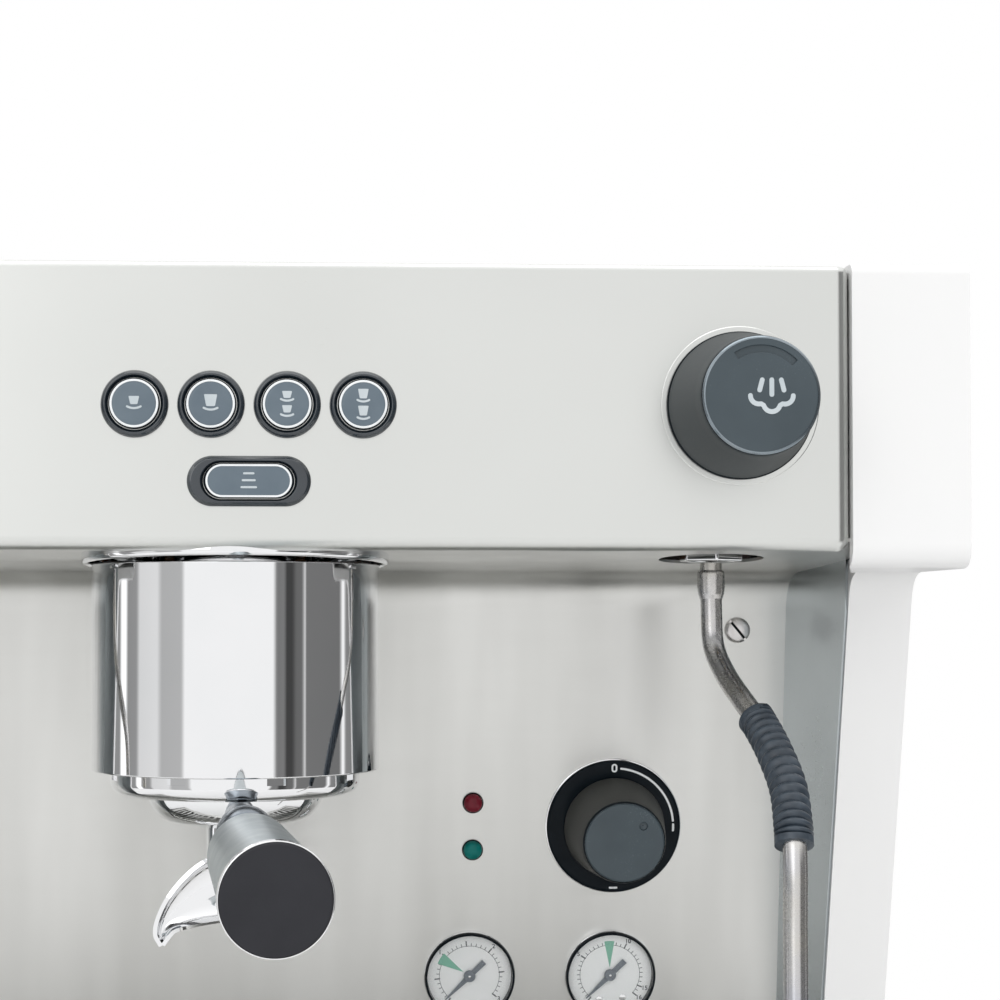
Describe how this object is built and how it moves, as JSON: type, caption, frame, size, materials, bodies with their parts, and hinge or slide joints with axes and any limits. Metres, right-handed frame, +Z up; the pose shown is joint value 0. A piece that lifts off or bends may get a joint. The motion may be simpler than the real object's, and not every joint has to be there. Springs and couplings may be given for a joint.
{
  "type": "espresso machine",
  "caption": "Counter-top espresso machine with a brew group, portafilter, steam wand, hot water spout, push buttons, valve knobs, gauges and a drip tray.",
  "frame": {"origin": "on the floor under the middle of the machine's bounding box", "axes": "+Z up, the barista stands at -Y, +X is the barista's right hand side"},
  "size_m": [0.52, 0.5219, 0.489],
  "materials": {
    "steel": "fine horizontal brush",
    "chrome": "mirror polish",
    "white_paint": "satin white",
    "black_gloss": "gloss",
    "black_matt": "fine matt grain",
    "slate": "satin blue grey",
    "knob_grey": "satin dark grey",
    "rubber": "matt",
    "satin_alloy": "satin",
    "copper": null,
    "brass": "plain",
    "red_lens": "clear red",
    "green_lens": "clear green",
    "dial": "white dial in a dark bezel"
  },
  "bodies": {
    "machine": {"base_frame": "steel", "hood_front_panel": "steel", "hood_underside": "steel", "backsplash": "steel", "cup_tray": "steel", "rear_cover": "steel", "shower_screen": "steel", "side_panel_right": "white_paint", "side_panel_left": "white_paint", "cup_rail": "chrome", "group_cover": "chrome", "group_body": "chrome", "wand_nut": "chrome", "backsplash_screw": "chrome", "power_gland": "black_matt", "pump_motor": "black_matt", "solenoid_valve": "black_matt", "water_inlet": "brass", "steam_valve": "brass", "water_valve": "brass", "heating_element": "brass", "pump": "brass", "foot_1": "rubber", "foot_2": "rubber", "foot_3": "rubber", "foot_4": "rubber", "group_gasket": "rubber", "button_bezel_1": "black_gloss", "button_bezel_2": "black_gloss", "button_bezel_3": "black_gloss", "button_bezel_4": "black_gloss", "oval_bezel": "black_gloss", "switch_plate": "black_gloss", "lamp_red": "red_lens", "lamp_green": "green_lens", "gauge_case_1": "dial", "gauge_case_2": "dial", "boiler": "copper"},
    "wand_ball": {"wand_ball": "chrome"},
    "steam_wand": {"steam_wand": "chrome", "wand_grip": "rubber", "wand_nozzle": "chrome"},
    "water_spout": {"water_spout": "chrome"},
    "filter_basket": {"filter_basket": "steel"},
    "portafilter": {"portafilter_body": "chrome", "portafilter_spout": "chrome", "portafilter_handle": "satin_alloy", "handle_cap": "black_matt"},
    "steam_knob": {"steam_knob": "knob_grey"},
    "water_knob": {"water_knob": "knob_grey"},
    "switch_knob": {"switch_knob": "knob_grey"},
    "drip_tray": {"drip_tray": "steel"},
    "drip_grate": {"drip_grate": "steel"},
    "gauge_needle_1": {"gauge_needle_1": "black_matt"},
    "gauge_needle_2": {"gauge_needle_2": "black_matt"},
    "button_1": {"button_cap_1": "slate"},
    "button_2": {"button_cap_2": "slate"},
    "button_3": {"button_cap_3": "slate"},
    "button_4": {"button_cap_4": "slate"},
    "oval_button": {"oval_cap": "slate"}
  },
  "joints": [
    {"name": "button_1_press", "type": "slide", "parent": "machine", "child": "button_1", "axis": [0, 1, 0], "range_m": [0, 0.0018], "stiffness_N_per_m": 400, "springref_m": -0.001},
    {"name": "button_2_press", "type": "slide", "parent": "machine", "child": "button_2", "axis": [0, 1, 0], "range_m": [0, 0.0018], "stiffness_N_per_m": 400, "springref_m": -0.001},
    {"name": "button_3_press", "type": "slide", "parent": "machine", "child": "button_3", "axis": [0, 1, 0], "range_m": [0, 0.0018], "stiffness_N_per_m": 400, "springref_m": -0.001},
    {"name": "button_4_press", "type": "slide", "parent": "machine", "child": "button_4", "axis": [0, 1, 0], "range_m": [0, 0.0018], "stiffness_N_per_m": 400, "springref_m": -0.001},
    {"name": "oval_button_press", "type": "slide", "parent": "machine", "child": "oval_button", "axis": [0, 1, 0], "range_m": [0, 0.0018], "stiffness_N_per_m": 400, "springref_m": -0.001},
    {"name": "steam_knob_turn", "type": "hinge", "parent": "machine", "child": "steam_knob", "pos_m": [0.1759, -0.12, 0.4242], "axis": [0, -1, 0], "range_deg": [0, 300]},
    {"name": "water_knob_turn", "type": "hinge", "parent": "machine", "child": "water_knob", "pos_m": [-0.1759, -0.12, 0.4242], "axis": [0, -1, 0], "range_deg": [0, 300]},
    {"name": "power_switch_turn", "type": "hinge", "parent": "machine", "child": "switch_knob", "pos_m": [0.1528, 0.034, 0.2588], "axis": [0, 0.9921, 0.1253], "range_deg": [-48, 132]},
    {"name": "wand_swivel", "type": "hinge", "parent": "machine", "child": "wand_ball", "pos_m": [0.1791, -0.05, 0.3785], "axis": [0, 0, 1], "range_deg": [-60, 45]},
    {"name": "wand_tilt", "type": "hinge", "parent": "wand_ball", "child": "steam_wand", "pos_m": [0.1791, -0.05, 0.3785], "axis": [1, 0, 0], "range_deg": [-10, 12]},
    {"name": "water_spout_swivel", "type": "hinge", "parent": "machine", "child": "water_spout", "pos_m": [-0.1791, -0.05, 0.3785], "axis": [0, 0, 1], "range_deg": [-40, 40]},
    {"name": "portafilter_drop", "type": "slide", "parent": "machine", "child": "filter_basket", "axis": [0, 0, -1], "range_m": [0, 0.045]},
    {"name": "portafilter_turn", "type": "hinge", "parent": "filter_basket", "child": "portafilter", "pos_m": [-0.0065, -0.06, 0.29], "axis": [0, 0, 1], "range_deg": [-45, 0]},
    {"name": "drip_tray_slide", "type": "slide", "parent": "machine", "child": "drip_tray", "axis": [0, -1, 0], "range_m": [0, 0.15]},
    {"name": "drip_grate_lift", "type": "slide", "parent": "drip_tray", "child": "drip_grate", "axis": [0, 0, 1], "range_m": [0, 0.03]},
    {"name": "gauge_1_reading", "type": "hinge", "parent": "machine", "child": "gauge_needle_1", "pos_m": [0.0913, 0.04221, 0.1938], "axis": [0, 0.9921, 0.1253], "range_deg": [0, 270]},
    {"name": "gauge_2_reading", "type": "hinge", "parent": "machine", "child": "gauge_needle_2", "pos_m": [0.1524, 0.04221, 0.1938], "axis": [0, 0.9921, 0.1253], "range_deg": [0, 270]}
  ]
}
